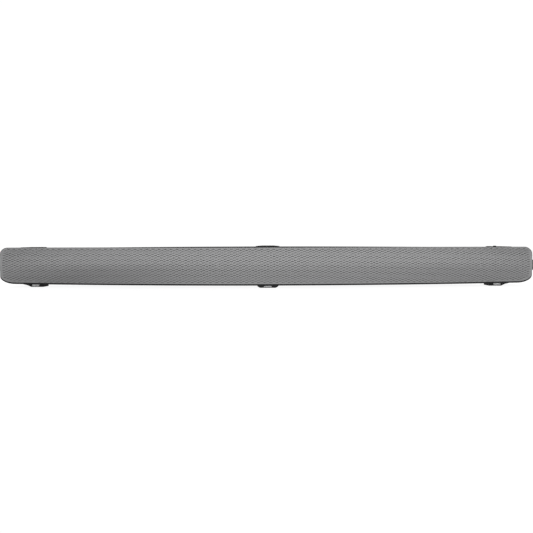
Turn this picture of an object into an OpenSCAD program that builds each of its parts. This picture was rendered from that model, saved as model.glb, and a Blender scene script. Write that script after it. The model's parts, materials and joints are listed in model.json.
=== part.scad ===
// Television soundbar: a bowed, crowned front grille on a flat-backed cabinet,
// with three feet, seven drivers and the electronics inside.
// Millimetres. +X to the listener's right, +Y to the back, +Z up.
// The origin is on the table, under the middle of the bar.

/* [Body] */
// Length from end cap to end cap
body_l = 1058; // [1040:2:1080]
// Height of the cabinet at its middle
body_h = 75.9; // [73:0.1:80]
// Depth from the crown of the grille to the back of the brackets
depth = 112; // [110:1:118]
// How far the ends of the front sit behind its middle
bow = 35; // [30:1:36]
// How far the deck stands above the grille's top line at the middle
top_drop = 1.5; // [0:0.1:2]
// How far the bottom edge rises from the middle to the ends
bottom_rise = 2.6; // [0:0.1:3]
// Wall thickness of the moulded shells
wall = 3; // [2.5:0.1:3]

/* [Grille] */
// Thickness of the steel sheet
sheet_t = 1; // [0.8:0.1:1]
// Radius of the crown, from the top edge to the bottom edge
crown_r = 76.5; // [74:0.5:90]
// Black rim that shows above the grille
rim_top = 0.6; // [0.5:0.1:2]
// Black rim that shows below the grille
rim_bottom = 3.2; // [2.4:0.1:5]
// Black lip that shows beyond each end of the grille
rim_end = 1.6; // [1.5:0.1:3]

/* [Supports] */
// Height of the cabinet above the table
foot_h = 5.1; // [4.8:0.1:8]
// Distance from the middle to the middle of each side pad
pad_x = 469; // [458:1:470]
// Width of each rubber pad
pad_w = 15; // [12:1:18]
// Thickness of a bracket's leg behind the cabinet
leg_t = 4; // [3:0.5:5]

/* [Drivers] */
// Distance from the middle to each side woofer
side_woofer_x = 330; // [325:1:340]
// Distance from the middle to each middle woofer
mid_woofer_x = 80; // [70:1:84]
// Distance from the middle to each side tweeter
side_tweeter_x = 405; // [398:1:410]

/* [Controls] */
// Diameter of the control pod on top
pod_d = 48; // [46:1:52]
// Height of the pod's dome above the cabinet
pod_h = 2.1; // [2:0.1:4]
// Diameter of each push button
button_d = 10; // [8:0.5:10]

/* [Hidden] */
$fn = 96;
half_l = body_l / 2;
front_y = -depth / 2;
back_y = depth / 2 - leg_t;
arc_r = (half_l * half_l + bow * bow) / (2 * bow);
arc_y = front_y + arc_r;
cap_l = 20;
deck_half = 330;
cap_rt = 12;
cap_rb = 14;
grille_rt = 11.5;
grille_rb = 13;
top_stretch = 1.1;
bottom_stretch = 2;
cabinet_half = half_l - cap_l;
top_mid = foot_h + body_h;
line_z = top_mid - top_drop;
crown_z = (line_z - rim_top + foot_h + rim_bottom) / 2;
crown_gap = 1;
rim_setback = 13;
tab_h = 20;
tab_out = 2.5;
baffle_setback = 20;
baffle_t = 4;
driver_z = 42;
fit = 0.3;
touch = 0.05;
tall = 120;
board_t = 1.6;
board_y = 24;
board_z = 44;
bay_y = board_y + board_t + 1.4;
bay_wall = 2;
signal_bay_x = -160;
signal_bay_w = 150;
mains_bay_x = 245;
mains_bay_w = 60;
bay_h = 44;
partition_x = 288;
port_x = 400;
port_r = 13;
insert_z = 44;
leg_screw_z = [24, 64];
woofer_w = 64;
woofer_screw = 27.5;
tweeter_r = 22;
tweeter_screw_r = 19.3;
button_ring_r = 13;
button_gap = 0.3;
button_angles = [90, 270, 180, 0];
travel = 0.5;

black = "#191a1c";
grey = "#8f9092";
steel = "#b9bcc0";
board_green = "#1f4a33";

WOOFERS = [
    ["left", -side_woofer_x], ["mid_left", -mid_woofer_x],
    ["mid_right", mid_woofer_x], ["right", side_woofer_x]
];
TWEETERS = [["left", -side_tweeter_x], ["middle", 0], ["right", side_tweeter_x]];
BUTTONS = ["volume_up", "volume_down", "source", "power"];
WOOFER_PARTS = ["frame", "magnet", "cone", "suspension"];

NODES = concat(
    ["rear_cabinet", "back_panel", "front_baffle", "left_end_cap", "right_end_cap", "grille",
     "grille_cloth", "grille_frame", "left_bracket", "right_bracket", "centre_foot",
     "foot_pads", "control_pod", "status_lens",
     "control_board", "main_board", "signal_bay", "signal_sockets",
     "amplifier_board", "heat_sink", "power_board", "mains_bay", "mains_inlet",
     "wireless_module", "antennas", "receiver_board", "left_port", "right_port",
     "speaker_wires", "damping_pads", "cabinet_screws", "driver_screws",
     "board_screws", "wall_inserts"],
    [for (b = BUTTONS) str(b, "_button")],
    [for (w = WOOFERS) for (p = WOOFER_PARTS) str(w[0], "_woofer_", p)],
    [for (t = TWEETERS) str(t[0], "_tweeter")],
    [for (t = TWEETERS) str(t[0], "_tweeter_dome")]
);
node = "all";
function shown(name) = node == "all" || node == name;

// ---- Curves of the body ----

function bow_at(x) = arc_r - sqrt(arc_r * arc_r - x * x);
function top_z(x) = line_z + top_drop * (1 - min(1, pow(x / deck_half, 2)));
function bottom_z(x) = foot_h + bottom_rise * pow(x / half_l, 2);

function steps(from, to, n) = [for (i = [0:n]) from + (to - from) * i / n];
function corner(cx, cz, rx, rz, from, n = 10) =
    [for (i = [0:n]) [cx + rx * cos(from - 90 * i / n), cz + rz * sin(from - 90 * i / n)]];

// Front view of the bar, taken in by the given amounts, with elliptical corners rt and rb high.
function outline(half, top_in, bottom_in, rt, rb) = let (wt = rt * top_stretch, wb = rb * bottom_stretch) concat(
    corner(-(half - wt), line_z - top_in - rt, wt, rt, 180),
    corner(half - wt, line_z - top_in - rt, wt, rt, 90),
    corner(half - wb, bottom_z(half - wb) + bottom_in + rb, wb, rb, 0),
    [for (x = steps(half - wb, -(half - wb), 12)) if (abs(x) < half - wb - 1) [x, bottom_z(x) + bottom_in]],
    corner(-(half - wb), bottom_z(half - wb) + bottom_in + rb, wb, rb, 270)
);

// The same view with square ends.
function band(half, top_in, bottom_in) = concat(
    [for (x = steps(-half, half, 24)) [x, top_z(x) - top_in]],
    [for (x = steps(half, -half, 12)) [x, bottom_z(x) + bottom_in]]
);

module along_y(points) {
    translate([0, tall, 0]) rotate([90, 0, 0]) linear_extrude(2 * tall) polygon(points);
}

// Sweeps a section, drawn as [radius, z], along the bow of the front.
module sweep_front(spread = 8.2) {
    translate([0, arc_y, 0]) rotate([0, 0, 270 - spread]) rotate_extrude(angle = 2 * spread, $fn = 256) children();
}

// Everything behind the crowned surface, taken in by inset.
module behind_crown(inset) {
    sweep_front() {
        translate([arc_r - crown_r, crown_z]) circle(r = crown_r - inset);
        translate([arc_r - 200, crown_z - 60]) square([200 - crown_r, 120]);
    }
}

// A block from the given depth behind the bow back to y_back.
module behind_bow(setback, y_back, half) {
    linear_extrude(tall) intersection() {
        translate([0, arc_y]) circle(r = arc_r - setback, $fn = 256);
        translate([-half, -tall]) square([2 * half, tall + y_back]);
    }
}

// A curved plate between two depths behind the bow.
module bow_plate(setback, thickness, half) {
    linear_extrude(tall) intersection() {
        difference() {
            translate([0, arc_y]) circle(r = arc_r - setback, $fn = 256);
            translate([0, arc_y]) circle(r = arc_r - setback - thickness, $fn = 256);
        }
        translate([-half, -tall]) square([2 * half, 2 * tall]);
    }
}

// Puts a child, built with +Z to the listener, on the bow at x.
module on_bow(x, setback, z = driver_z) {
    translate([0, arc_y, 0]) rotate([0, 0, asin(x / arc_r)]) translate([0, setback - arc_r, z])
        rotate([90, 0, 0]) children();
}

module box(from, to) {
    translate(from) cube(to - from);
}

// A plate in X and Z with round corners, from y to y + thickness.
module plate_xz(x, z, w, h, r, y, thickness) {
    translate([x, y + thickness, z]) rotate([90, 0, 0]) linear_extrude(thickness) {
        square([w - 2 * r, h], center = true);
        square([w, h - 2 * r], center = true);
        for (i = [-1, 1]) for (j = [-1, 1]) translate([i * (w / 2 - r), j * (h / 2 - r)]) circle(r = r);
    }
}

module hole_y(x, z, r, from, to) {
    translate([x, to, z]) rotate([90, 0, 0]) cylinder(r = r, h = to - from);
}

// A pan-head screw with a hexagonal recess: its head stands on z = 0.
module screw(head_r, shank_r, length) {
    difference() {
        union() {
            cylinder(r = head_r, h = 1.6);
            translate([0, 0, -length]) cylinder(r = shank_r, h = length);
        }
        translate([0, 0, 0.6]) cylinder(r = head_r * 0.45, h = 2, $fn = 6);
    }
}

// ---- Casing ----

// The pocket in the front that holds the grille and its frame.
module grille_pocket() {
    intersection() {
        along_y(outline(half_l - rim_end + fit, rim_top - touch, rim_bottom - fit, grille_rt + 0.1, grille_rb + 0.1));
        difference() {
            translate([-half_l, front_y - 1, 0]) cube([body_l, tall, tall]);
            behind_bow(rim_setback, tall, half_l + 1);
        }
    }
}

module baffle_screw_places() {
    for (x = baffle_screw_x) for (z = [driver_z - 28, driver_z + 28])
        on_bow(x, baffle_setback, z) children();
}

module rear_cabinet() {
    color(black) difference() {
        union() {
            difference() {
                intersection() {
                    behind_crown(crown_gap);
                    along_y(band(cabinet_half, 0, 0));
                    along_y(outline(half_l, -top_drop, 0, cap_rt, cap_rb));
                    translate([-half_l, -tall, 0]) cube([body_l, tall + back_y, tall]);
                }
                intersection() {
                    along_y(band(half_l, wall, wall));
                    behind_bow(rim_setback, tall, half_l);
                }
                grille_pocket();
            }
            partitions();
            baffle_rails();
            panel_rails();
        }
        for (s = [-1, 1]) translate([s * 12, 20, foot_h - 1]) cylinder(r = 1.7, h = wall + 3);
        translate([0, 0, top_mid - 2 * wall]) cylinder(r = pod_d / 2 - 3 + fit, h = 3 * wall);
        baffle_screw_places() translate([0, 0, -baffle_t - 6]) cylinder(r = 1.3, h = 6);
        for (x = panel_screw_x) for (z = panel_screw_z) hole_y(x, z, 1.3, back_y - wall - 9, back_y);
    }
}

// The flat plate that closes the back and carries the boards, bays and ports.
module back_panel() {
    color(black) difference() {
        union() {
            intersection() {
                along_y(band(cabinet_half - touch, wall + fit, wall + fit));
                translate([-half_l, back_y - wall, 0]) cube([body_l, wall, tall]);
            }
            board_bosses();
        }
        for (x = [[signal_bay_x, signal_bay_w], [mains_bay_x, mains_bay_w]])
            translate([x[0] - x[1] / 2 - fit, back_y - 2 * wall, board_z - bay_h / 2 - fit])
                cube([x[1] + 2 * fit, 3 * wall, bay_h + 2 * fit]);
        for (s = [-1, 1]) {
            hole_y(s * port_x, driver_z, port_r + 4 + fit, back_y - 2 * wall, back_y + 1);
            hole_y(s * (pad_x + 5), insert_z, 4.2, back_y - 2 * wall, back_y + 1);
            for (z = leg_screw_z) hole_y(s * (pad_x + 5), z, 1.7, back_y - 2 * wall, back_y + 1);
        }
        for (i = [0:11]) plate_xz(74 + i * 9, board_z, 3, 34, 1.4, back_y - 2 * wall, 3 * wall);
        for (x = panel_screw_x) for (z = panel_screw_z) {
            hole_y(x, z, 1.7, back_y - 2 * wall, back_y + 1);
            hole_y(x, z, 3.6, back_y - 1.7, back_y + 1);
        }
        for (b = BOARDS) for (i = [-1, 1]) for (j = [-1, 1])
            hole_y(b[0] + i * (b[1] / 2 - 4), board_z + j * (b[2] / 2 - 4), 1.7, board_y, board_y + 6);
    }
}

// Walls that part the side chambers from the middle one, each notched for the wires.
module partitions() {
    for (s = [-1, 1]) difference() {
        intersection() {
            translate([s * partition_x - 1.25, front_y + baffle_setback + baffle_t + bow_at(partition_x) + 1, 0])
                cube([2.5, back_y - wall - fit - (front_y + baffle_setback + baffle_t + bow_at(partition_x) + 1), tall]);
            along_y(band(half_l, 1, 1));
        }
        translate([s * partition_x - 3, 20, 0]) cube([6, 12, 20]);
    }
}

// Pillars on the back wall that the boards are screwed to.
module board_bosses() {
    for (b = BOARDS) for (i = [-1, 1]) for (j = [-1, 1])
        hole_y(b[0] + i * (b[1] / 2 - 4), board_z + j * (b[2] / 2 - 4), 3, board_y + board_t + touch, back_y - 1);
    for (z = [33, 53]) hole_y(-wireless_x, z, 2, wireless_y + 1.2 + touch, back_y - 1);
}

// Ledges on the top and bottom walls that the baffle is screwed to.
module baffle_rails() {
    intersection() {
        bow_plate(baffle_setback + baffle_t + touch, 6, cabinet_half);
        difference() {
            along_y(band(cabinet_half, 1, 1));
            along_y(band(half_l, 13, 13));
        }
        for (x = baffle_screw_x) translate([x - 9, -tall, 0]) cube([18, 2 * tall, tall]);
    }
}

// Ledges on the top and bottom walls that the back panel is screwed to.
module panel_rails() {
    intersection() {
        translate([-half_l, back_y - wall - touch - 7, 0]) cube([body_l, 7, tall]);
        difference() {
            along_y(band(cabinet_half, 1, 1));
            along_y(band(half_l, 14, 14));
        }
        for (x = panel_screw_x) translate([x - 8, -tall, 0]) cube([16, 2 * tall, tall]);
    }
}

module front_baffle() {
    color("#202124") difference() {
        intersection() {
            bow_plate(baffle_setback, baffle_t, cabinet_half);
            along_y(band(half_l, wall + fit, wall + fit));
        }
        for (w = WOOFERS) on_bow(w[1], baffle_setback) {
            translate([0, 0, -2 * baffle_t]) cylinder(r = 29.2, h = 3 * baffle_t);
            for (i = [-1, 1]) for (j = [-1, 1])
                translate([i * woofer_screw, j * woofer_screw, -2 * baffle_t]) cylinder(r = 1.3, h = 3 * baffle_t);
        }
        for (t = TWEETERS) on_bow(t[1], baffle_setback) {
            translate([0, 0, -2 * baffle_t]) cylinder(r = 16.2, h = 3 * baffle_t);
            for (a = [90, 210, 330]) rotate([0, 0, a])
                translate([tweeter_screw_r, 0, -2 * baffle_t]) cylinder(r = 1.3, h = 3 * baffle_t);
        }
        baffle_screw_places() translate([0, 0, -2 * baffle_t]) cylinder(r = 1.7, h = 3 * baffle_t);
        for (x = strut_x) on_bow(x, baffle_setback) translate([0, 0, -2 * baffle_t]) cylinder(r = 2.6, h = 3 * baffle_t);
    }
}

// An end cap: side 1 is the right one, -1 the left.
module end_cap(side) {
    color(black) mirror([side < 0 ? 1 : 0, 0, 0]) difference() {
        intersection() {
            behind_crown(crown_gap);
            along_y(outline(half_l, 0, 0, cap_rt, cap_rb));
            linear_extrude(tall) cap_plan();
        }
        intersection() {
            along_y(outline(half_l - wall, wall, wall, cap_rt - wall, cap_rb - wall));
            linear_extrude(tall) intersection() {
                translate([0, arc_y]) circle(r = arc_r - rim_setback, $fn = 256);
                translate([cabinet_half - 1, -tall]) square([cap_l + 1 - wall, tall + back_y - wall]);
            }
        }
        grille_pocket();
        translate([half_l - 5, front_y, crown_z - tab_h / 2 - 1]) cube([10, bow + rim_setback - 0.5, tab_h + 2]);
    }
}

module cap_plan() {
    front = front_y + bow;
    r_back = 10;
    r_front = 5;
    translate([cabinet_half + touch, -tall]) square([cap_l - r_back, tall + back_y]);
    translate([cabinet_half + touch, front + r_front]) square([cap_l - touch, back_y - r_back - front - r_front]);
    translate([cabinet_half + touch, -tall]) square([cap_l - r_front, tall + back_y - 20]);
    translate([half_l - r_back, back_y - r_back]) circle(r = r_back);
    translate([half_l - r_front, front + r_front]) circle(r = r_front);
}

// ---- Grille ----

module grille_outline(inset = 0) {
    along_y(outline(half_l - rim_end - inset, rim_top + inset, rim_bottom + inset,
        grille_rt - inset / 2, grille_rb - inset / 2));
}

// A crowned, bowed shell between two depths behind the grille's face.
module crowned_sheet(depth_in, thickness) {
    sweep_front() intersection() {
        translate([arc_r - crown_r, crown_z]) difference() {
            circle(r = crown_r - depth_in);
            circle(r = crown_r - depth_in - thickness);
        }
        translate([arc_r - crown_r * 0.7, crown_z - 50]) square([crown_r, 100]);
    }
}

module grille() {
    color(grey) intersection() {
        crowned_sheet(0, sheet_t);
        grille_outline();
    }
}

module grille_cloth() {
    color("#101113") intersection() {
        crowned_sheet(sheet_t + touch, 0.4);
        grille_outline(1.5);
    }
}

module grille_frame() {
    color(black) {
        intersection() {
            sweep_front() intersection() {
                translate([arc_r - crown_r, crown_z]) circle(r = crown_r - sheet_t - 0.6);
                translate([arc_r - rim_setback + touch, crown_z - 50]) square([rim_setback, 100]);
            }
            difference() {
                grille_outline(0.4);
                difference() {
                    grille_outline(5);
                    for (x = strut_x)
                        translate([x - 2.5, -tall, 0]) cube([5, 2 * tall, tall]);
                }
            }
        }
        for (x = strut_x) on_bow(x, rim_setback) translate([0, 0, -10]) cylinder(r = 2.2, h = 11);
        for (s = [-1, 1]) pull_tab(s);
    }
}

// A tab at each end of the frame, to pull the grille off by.
module pull_tab(side) {
    x0 = half_l - rim_end - 3;
    y0 = front_y + bow_at(half_l) + 2.5;
    mirror([side < 0 ? 1 : 0, 0, 0]) difference() {
        box([x0, y0, crown_z - tab_h / 2], [half_l + tab_out, y0 + 8, crown_z + tab_h / 2]);
        for (i = [-2:2]) translate([half_l + tab_out - 0.7, y0 - 1, crown_z + i * 3.8 - 0.7]) cube([2, 10, 1.4]);
    }
}

// ---- Supports ----

foot_front = 8;
foot_back = depth / 2;
side_foot_front = front_y + rim_setback + bow_at(pad_x) + foot_front + 12;
centre_foot_front = front_y + rim_setback + foot_front;
foot_stand = 0.1;
lip_h = 1.3;
lip_t = 1.3;
pad_l = 16;

// Front view of a side foot: steep on the inner side, sloping away outwards.
side_foot_view = [
    [pad_x - 16.5, bottom_z(pad_x - 16) - 0.1], [pad_x - 16.5, foot_stand + 0.6], [pad_x - 15.9, foot_stand],
    [pad_x + 8.2, foot_stand], [pad_x + 11, foot_stand + 1.2], [pad_x + 15, foot_stand + 3.2],
    [pad_x + 24, bottom_z(pad_x) - 1.6], [pad_x + 31, bottom_z(pad_x) - 0.1]
];
side_foot_l = 25;
rear_foot_l = 32;
rear_pad_out = 9;
// Front view of the plate between the front and the rear foot, and of the rear foot.
foot_plate_view = [
    [pad_x - 16.5, bottom_z(pad_x - 16) - 0.1], [pad_x - 16.5, foot_h - 0.6], [pad_x + 24, foot_h - 0.3],
    [pad_x + 31, bottom_z(pad_x) - 0.1]
];
rear_foot_view = [
    [pad_x - 0.5, foot_h], [pad_x - 0.5, foot_stand], [pad_x + 18.5, foot_stand], [pad_x + 24, foot_h]
];
// Front view of the arm that lies over the top.
top_arm_view = [
    [pad_x - 16.5, line_z + 0.1], [pad_x - 16.5, line_z + 0.8], [pad_x - 15, line_z + 1.2],
    [pad_x + 8, line_z + 1.1], [pad_x + 31, line_z + 0.5], [pad_x + 31, line_z + 0.1]
];

module extrude_view(points, from, to) {
    translate([0, to, 0]) rotate([90, 0, 0]) linear_extrude(to - from) polygon(points);
}

// The arm, narrower towards the back.
module top_arm() {
    intersection() {
        extrude_view(top_arm_view, 10, foot_back);
        linear_extrude(2 * top_mid) polygon([
            [pad_x - 17, 22], [pad_x - 17, 9], [pad_x + 32, 9], [pad_x + 32, foot_back + 1], [pad_x + 3, foot_back + 1]
        ]);
    }
}

// A bracket that carries an end of the bar: foot, leg up the back and arm over the top.
module bracket(side) {
    color(black) mirror([side < 0 ? 1 : 0, 0, 0]) difference() {
        union() {
            extrude_view(side_foot_view, side_foot_front, side_foot_front + side_foot_l);
            extrude_view(foot_plate_view, side_foot_front + side_foot_l - 1, foot_back);
            extrude_view(rear_foot_view, foot_back - rear_foot_l, foot_back);
            top_arm();
            box([pad_x - 16.5, back_y + touch, foot_h], [pad_x + 31, foot_back, line_z - 0.3]);
            box([pad_x + 4, back_y + touch, line_z - 1], [pad_x + 31, foot_back, line_z + 0.5]);
            if (side > 0) arm_studs();
        }
        pad_pair(pad_x, side_foot_front, fit / 3, rear_pad_out);
        pad_window(pad_x, side_foot_front);
        hole_y(pad_x + 5, insert_z, 4, back_y - 1, foot_back + 1);
        for (z = leg_screw_z) {
            hole_y(pad_x + 5, z, 1.7, back_y - 1, foot_back + 1);
            hole_y(pad_x + 5, z, 3.6, foot_back - 2, foot_back + 1);
        }
    }
}

// Two low studs on the right-hand arm.
module arm_studs() {
    translate([pad_x, 18, line_z + 0.6]) cylinder(r = 2.8, h = 1.7);
    translate([pad_x - 12, 18, line_z + 0.6]) cylinder(r = 3.6, h = 0.8);
}

// The two rubber pads under a foot, front and back. The back one may stand further out.
module pad_pair(x, front, grow = 0, out = 0) {
    for (p = [[x, front + lip_t], [x + out, foot_back - 12 - pad_l]])
        box([p[0] - pad_w / 2 - grow, p[1] - grow, -grow],
            [p[0] + pad_w / 2 + grow, p[1] + pad_l + grow, bottom_z(x) - 1.1 + grow]);
}

// The window over a foot's front lip, which the pad shows through.
module pad_window(x, front) {
    box([x - pad_w / 2, front - 1, lip_h], [x + pad_w / 2, front + lip_t + 1, bottom_z(x) - 1.4]);
}

// Ribbed rubber pads, which the bar stands on.
module foot_pads() {
    color("#a9abad")
        for (p = [[-pad_x, side_foot_front, -rear_pad_out], [0, centre_foot_front, 0], [pad_x, side_foot_front, rear_pad_out]])
            difference() {
                pad_pair(p[0], p[1], 0, p[2]);
                for (q = [[p[0], p[1] + lip_t], [p[0] + p[2], foot_back - 12 - pad_l]]) for (i = [-2:2])
                    translate([q[0] + i * 2.8 - 0.4, q[1] + 2, -1]) cube([0.8, pad_l - 4, 1.4]);
            }
}

centre_foot_view = [
    [-21.8, foot_h - 0.1], [-19.2, 2.3], [-16.4, 0.6], [-14.5, foot_stand],
    [14.5, foot_stand], [16.4, 0.6], [19.2, 2.3], [21.8, foot_h - 0.1]
];

module centre_foot() {
    color(black) difference() {
        extrude_view(centre_foot_view, centre_foot_front, back_y - 2);
        pad_pair(0, centre_foot_front, fit / 3);
        pad_window(0, centre_foot_front);
        for (s = [-1, 1]) translate([s * 12, 20, -1]) {
            cylinder(r = 1.7, h = foot_h + 2);
            cylinder(r = 3.6, h = 4);
        }
    }
}

// Brass inserts in the brackets, tapped for the screws of a wall bracket.
module wall_inserts() {
    color("#b08d4a") for (s = [-1, 1]) difference() {
        hole_y(s * (pad_x + 5), insert_z, 4 - touch / 2, back_y - 6, foot_back);
        hole_y(s * (pad_x + 5), insert_z, 2.5, back_y - 4, foot_back + 1);
    }
}

module cabinet_screws() {
    color(steel) {
        for (s = [-1, 1]) {
            for (z = leg_screw_z) translate([s * (pad_x + 5), foot_back - 2 + touch, z])
                rotate([-90, 0, 0]) screw(3.2, 1.5, 9);
            translate([s * 12, 20, 3 - touch]) rotate([180, 0, 0]) screw(3.2, 1.5, 6);
        }
        baffle_screw_places() translate([0, 0, touch]) screw(3, 1.2, 9.5);
        for (x = panel_screw_x) for (z = panel_screw_z)
            translate([x, back_y - 1.7 + touch, z]) rotate([-90, 0, 0]) screw(3, 1.2, 8);
    }
}

// ---- Controls ----

pod_r = pod_d / 2;
pod_side = 0.9;
button_proud = 0.1;
dome_r = (pod_r * pod_r + pow(pod_h - pod_side, 2)) / (2 * (pod_h - pod_side));
pod_roof = 0.2;

module dome_ball(extra) {
    translate([0, 0, top_mid + pod_h - dome_r]) sphere(r = dome_r + extra, $fn = 256);
}

module pod_block(r, from, to) {
    translate([0, 0, top_mid + from]) cylinder(r = r, h = to - from);
}

module control_pod() {
    color("#0f1011") difference() {
        union() {
            intersection() {
                pod_block(pod_r, 0.1, pod_h + 1);
                dome_ball(0);
            }
            pod_block(pod_r - 3, -9, 1);
        }
        pod_block(pod_r - 4.6, -7.6, pod_roof);
        pod_block(pod_r - 6, -10, -7);
        for (a = button_angles) rotate([0, 0, a]) translate([button_ring_r, 0, 0]) pod_block(button_d / 2 + button_gap, -1, 5);
        pod_block(1.6, -1, 5);
    }
}

module button(i) {
    color("#232427") rotate([0, 0, button_angles[i]]) translate([button_ring_r, 0, 0]) {
        intersection() {
            pod_block(button_d / 2, -1, pod_h + 2);
            translate([-button_ring_r, 0, 0]) dome_ball(button_proud);
        }
        pod_block(button_d / 2 + 1, -1, 0.05);
        pod_block(2, -3.05, -1);
    }
}

module status_lens() {
    color("#d8e6e8") union() {
        pod_block(1.5, -2, pod_h + 0.1);
        pod_block(2.4, -3, -0.1);
    }
}

module control_board() {
    color(board_green) {
        pod_block(pod_r - 5, -7.5, -7.5 + board_t);
        for (a = button_angles) rotate([0, 0, a]) translate([button_ring_r - 3, -3, top_mid - 6]) cube([6, 6, 2.3]);
        translate([-2, -2, top_mid - 6]) cube([4, 4, 2]);
    }
}

// ---- Drivers ----

// Square plate with round corners and a round window.
module woofer_flange() {
    translate([0, 0, 0.2]) linear_extrude(2) difference() {
        union() {
            square([woofer_w - 10, woofer_w], center = true);
            square([woofer_w, woofer_w - 10], center = true);
            for (i = [-1, 1]) for (j = [-1, 1]) translate([i, j] * (woofer_w / 2 - 5)) circle(r = 5);
        }
        circle(r = 27.4);
        for (i = [-1, 1]) for (j = [-1, 1]) translate([i, j] * woofer_screw) circle(r = 1.7);
    }
}

module woofer_frame(x) {
    color("#3a3c40") on_bow(x, baffle_setback) {
        woofer_flange();
        difference() {
            rotate_extrude() polygon([
                [27.4, 1.5], [28.6, 1.5], [28.6, 0], [19, -18], [19, -19.4],
                [9, -19.4], [9, -18.2], [17.6, -18.2], [27.4, 0.2]
            ]);
            for (a = [0:60:300]) rotate([0, 0, a]) translate([14, -5.5, -15.5]) cube([18, 11, 11]);
        }
    }
}

// Top plate, ferrite ring and yoke with its pole, around the coil's gap.
module woofer_magnet(x) {
    color("#55585c") on_bow(x, baffle_setback) rotate_extrude() polygon([
        [0, -33.5], [17, -33.5], [17, -30.5], [18.5, -30.5], [18.5, -22.5], [17, -22.5], [17, -19.5],
        [8.2, -19.5], [8.2, -22.5], [9.6, -22.5], [9.6, -30.5], [6.2, -30.5], [6.2, -18.5], [0, -18.5]
    ]);
}

// Cone, dust cap and voice coil: the part that moves.
module woofer_cone(x) {
    cap = [for (i = [0:8]) [9.6 * i / 8, -4.4 - 4.2 * pow(i / 8, 2)]];
    cap_back = [for (i = [8:-1:0]) [9.6 * i / 8, -5 - 4.2 * pow(i / 8, 2)]];
    color("#2a2b2e") on_bow(x, baffle_setback) rotate_extrude() {
        polygon([[6.8, -27], [7.2, -27], [7.2, -24.4], [7.6, -24.4], [7.6, -18], [7.2, -18], [7.2, -10.2], [6.8, -10.2]]);
        polygon([[6.9, -11.6], [7.7, -11.6], [23.2, 1.4], [24.4, 1.4], [24.4, 2.2], [22.8, 2.2], [6.9, -10.6]]);
        polygon(concat(cap, cap_back));
    }
}

// Rubber surround at the front and corrugated spider at the back.
module woofer_suspension(x) {
    pleats = [for (i = [0:8]) [7.3 + i * 1.5, -14.5 + (i % 2) * 1.2]];
    color("#121315") on_bow(x, baffle_setback) rotate_extrude() {
        intersection() {
            translate([26.3, 2.25]) difference() {
                circle(r = 2.7);
                circle(r = 2);
            }
            translate([20, 2.25]) square([14, 4]);
        }
        translate([22.4, 2.25]) square([1.7, 0.7]);
        translate([28.5, 2.25]) square([3, 0.7]);
        polygon(concat(pleats, [for (i = [8:-1:0]) pleats[i] + [0, 0.5]]));
    }
}

module tweeter(x) {
    color("#303236") on_bow(x, baffle_setback) difference() {
        rotate_extrude() polygon([
            [0, -14], [15.5, -14], [15.5, 0.2], [tweeter_r, 0.2], [tweeter_r, 2], [tweeter_r - 0.7, 2.7],
            [15, 2.7], [10.8, 1.2], [10.8, -3], [0, -3]
        ]);
        for (a = [90, 210, 330]) rotate([0, 0, a]) translate([tweeter_screw_r, 0, -1]) cylinder(r = 1.7, h = 5);
    }
}

module tweeter_dome(x) {
    rise = [for (i = [0:10]) [10 * i / 10, 2 - 3.6 * pow(i / 10, 2)]];
    color("#17181a") on_bow(x, baffle_setback) rotate_extrude()
        polygon(concat(rise, [[10.4, -1.6], [10.4, -2.2], [9.8, -2.2]], [for (i = [9:-1:0]) rise[i] - [0, 0.35]]));
}

module driver_screws() {
    color(steel) {
        for (w = WOOFERS) on_bow(w[1], baffle_setback) for (i = [-1, 1]) for (j = [-1, 1])
            translate([i * woofer_screw, j * woofer_screw, 2.2 + touch]) screw(3, 1.2, 6);
        for (t = TWEETERS) on_bow(t[1], baffle_setback) for (a = [90, 210, 330]) rotate([0, 0, a])
            translate([tweeter_screw_r, 0, 2.7 + touch]) screw(2.4, 1.2, 6.4);
    }
}

// ---- Ports, wires and damping ----

module port(side) {
    color(black) translate([side * port_x, back_y, driver_z]) rotate([90, 0, 0]) rotate_extrude() polygon([
        [port_r, 3], [port_r + 0.7, 1.2], [port_r + 2.2, 0], [port_r + 4, 0], [port_r + 4, 4],
        [port_r + 2, 4], [port_r + 2, 40], [port_r, 40]
    ]);
}

wire_r = 1.6;
wire_sides = 8;
// The loom runs along the floor of the cabinet, from one side chamber to the other.
loom_route = [
    [-392, 24, 14], [-360, 26, 13], [-320, 26, 12.4], [-288, 26, 12], [-240, 22, 12], [-180, 17, 12],
    [-120, 15, 12], [-60, 17, 12], [0, 18, 12], [60, 17, 12], [120, 15, 12], [180, 17, 12],
    [240, 22, 12], [288, 26, 12], [320, 26, 12.4], [360, 26, 13], [392, 24, 14]
];

// A tube swept along a route that runs mainly along X.
module tube(route, r) {
    n = len(route);
    rings = [for (p = route) for (k = [0:wire_sides - 1])
        p + [0, r * cos(360 * k / wire_sides), r * sin(360 * k / wire_sides)]];
    sides = [for (i = [0:n - 2]) for (k = [0:wire_sides - 1]) let (m = (k + 1) % wire_sides)
        [i * wire_sides + k, i * wire_sides + m, (i + 1) * wire_sides + m, (i + 1) * wire_sides + k]];
    polyhedron(rings, concat(sides, [[for (k = [wire_sides - 1:-1:0]) k]],
        [[for (k = [0:wire_sides - 1]) (n - 1) * wire_sides + k]]));
}

module speaker_wires() {
    color("#7a1f1f") tube(loom_route, wire_r);
    color("#1c1c1c") tube([for (p = loom_route) p + [0, 2 * wire_r + 0.2, 0]], wire_r);
}

module damping_pads() {
    color("#d9d6cc") for (s = [-1, 1])
        translate([s * 480 - 14, 8, 16]) cube([28, 34, 54]);
}

// ---- Electronics ----

module upright_board(x, w, h) {
    box([x - w / 2, board_y, board_z - h / 2], [x + w / 2, board_y + board_t, board_z + h / 2]);
}

module board_holes(x, w, h) {
    for (i = [-1, 1]) for (j = [-1, 1]) hole_y(x + i * (w / 2 - 4), board_z + j * (h / 2 - 4), 1.6, board_y - 1, board_y + 3);
}

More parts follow.
